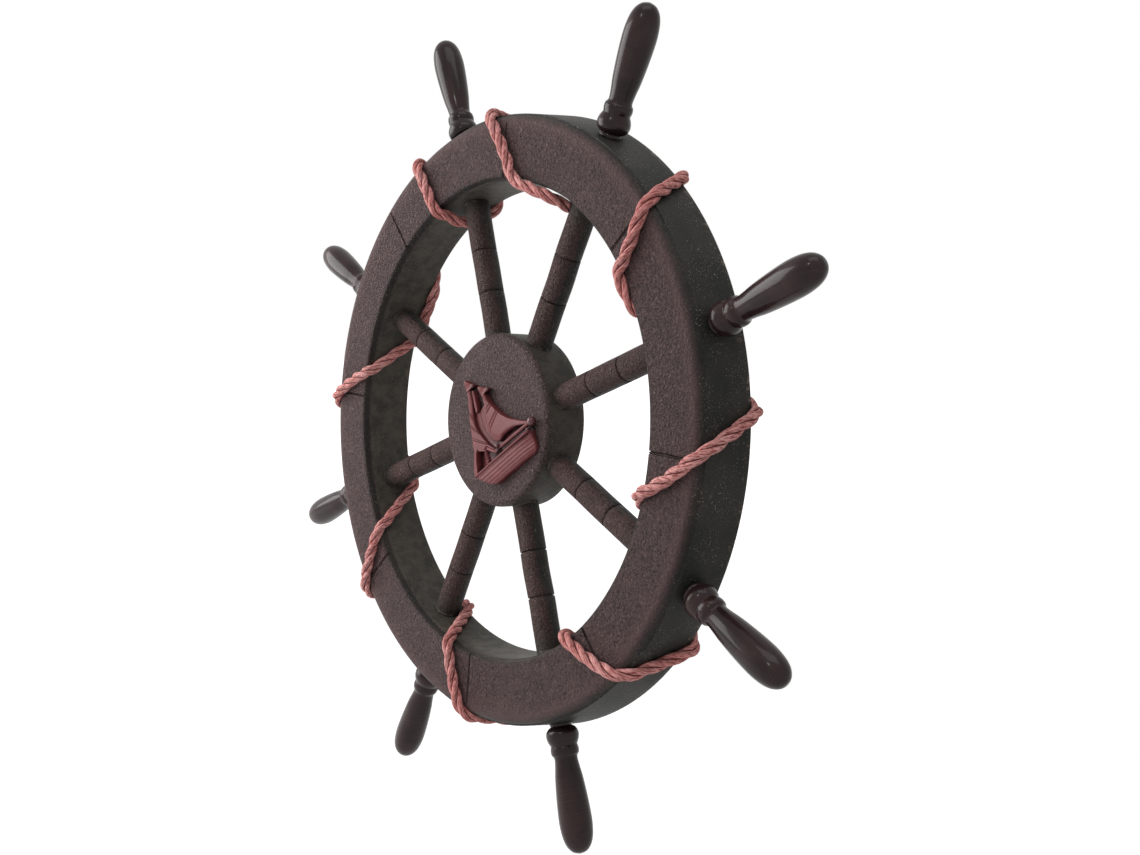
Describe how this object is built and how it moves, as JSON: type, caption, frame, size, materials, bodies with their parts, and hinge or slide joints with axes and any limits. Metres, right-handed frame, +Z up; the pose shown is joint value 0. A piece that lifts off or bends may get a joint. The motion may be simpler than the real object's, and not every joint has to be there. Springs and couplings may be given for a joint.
{
  "type": "ship's wheel wall decoration",
  "caption": "Round ship's wheel for a wall, with turned spokes and handles, a rope wound round the rim, a sailing ship emblem on the hub and a ring hanger on its flat back.",
  "frame": {"origin": "centre of the hub's flat back, on the wheel's axis, in the plane of the rim's back", "axes": "+Y out of the back towards the wall, so the front faces -Y; +Z up as the wheel hangs; +X to the right as the wheel is seen from the front"},
  "size_m": [0.4159, 0.0443, 0.4183],
  "materials": {
    "painted_wood": "wrinkled brown paint sprayed over a matt black-green base coat",
    "lacquered_wood": "dark brown stain under glossy lacquer",
    "cast_resin": "cast resin, satin red-brown",
    "cotton_rope": "three-strand laid cotton, dusty pink",
    "zinc_steel": "bright zinc plating, slightly dulled"
  },
  "bodies": {
    "wheel": {"rim": "painted_wood", "hub": "painted_wood", "spoke_1": "painted_wood", "handle_1": "lacquered_wood", "spoke_2": "painted_wood", "handle_2": "lacquered_wood", "spoke_3": "painted_wood", "handle_3": "lacquered_wood", "spoke_4": "painted_wood", "handle_4": "lacquered_wood", "spoke_5": "painted_wood", "handle_5": "lacquered_wood", "spoke_6": "painted_wood", "handle_6": "lacquered_wood", "spoke_7": "painted_wood", "handle_7": "lacquered_wood", "spoke_8": "painted_wood", "handle_8": "lacquered_wood", "ship_emblem": "cast_resin", "rope": "cotton_rope", "rope_staple_1": "zinc_steel", "rope_staple_2": "zinc_steel", "hanger_plate": "zinc_steel", "hanger_screw": "zinc_steel"},
    "hanger_ring": {"hanger_ring": "zinc_steel"}
  },
  "joints": [
    {"name": "ring_swing", "type": "hinge", "parent": "wheel", "child": "hanger_ring", "pos_m": [0, 0.0026, 0.155], "axis": [1, 0, 0], "range_deg": [0, 180]}
  ]
}
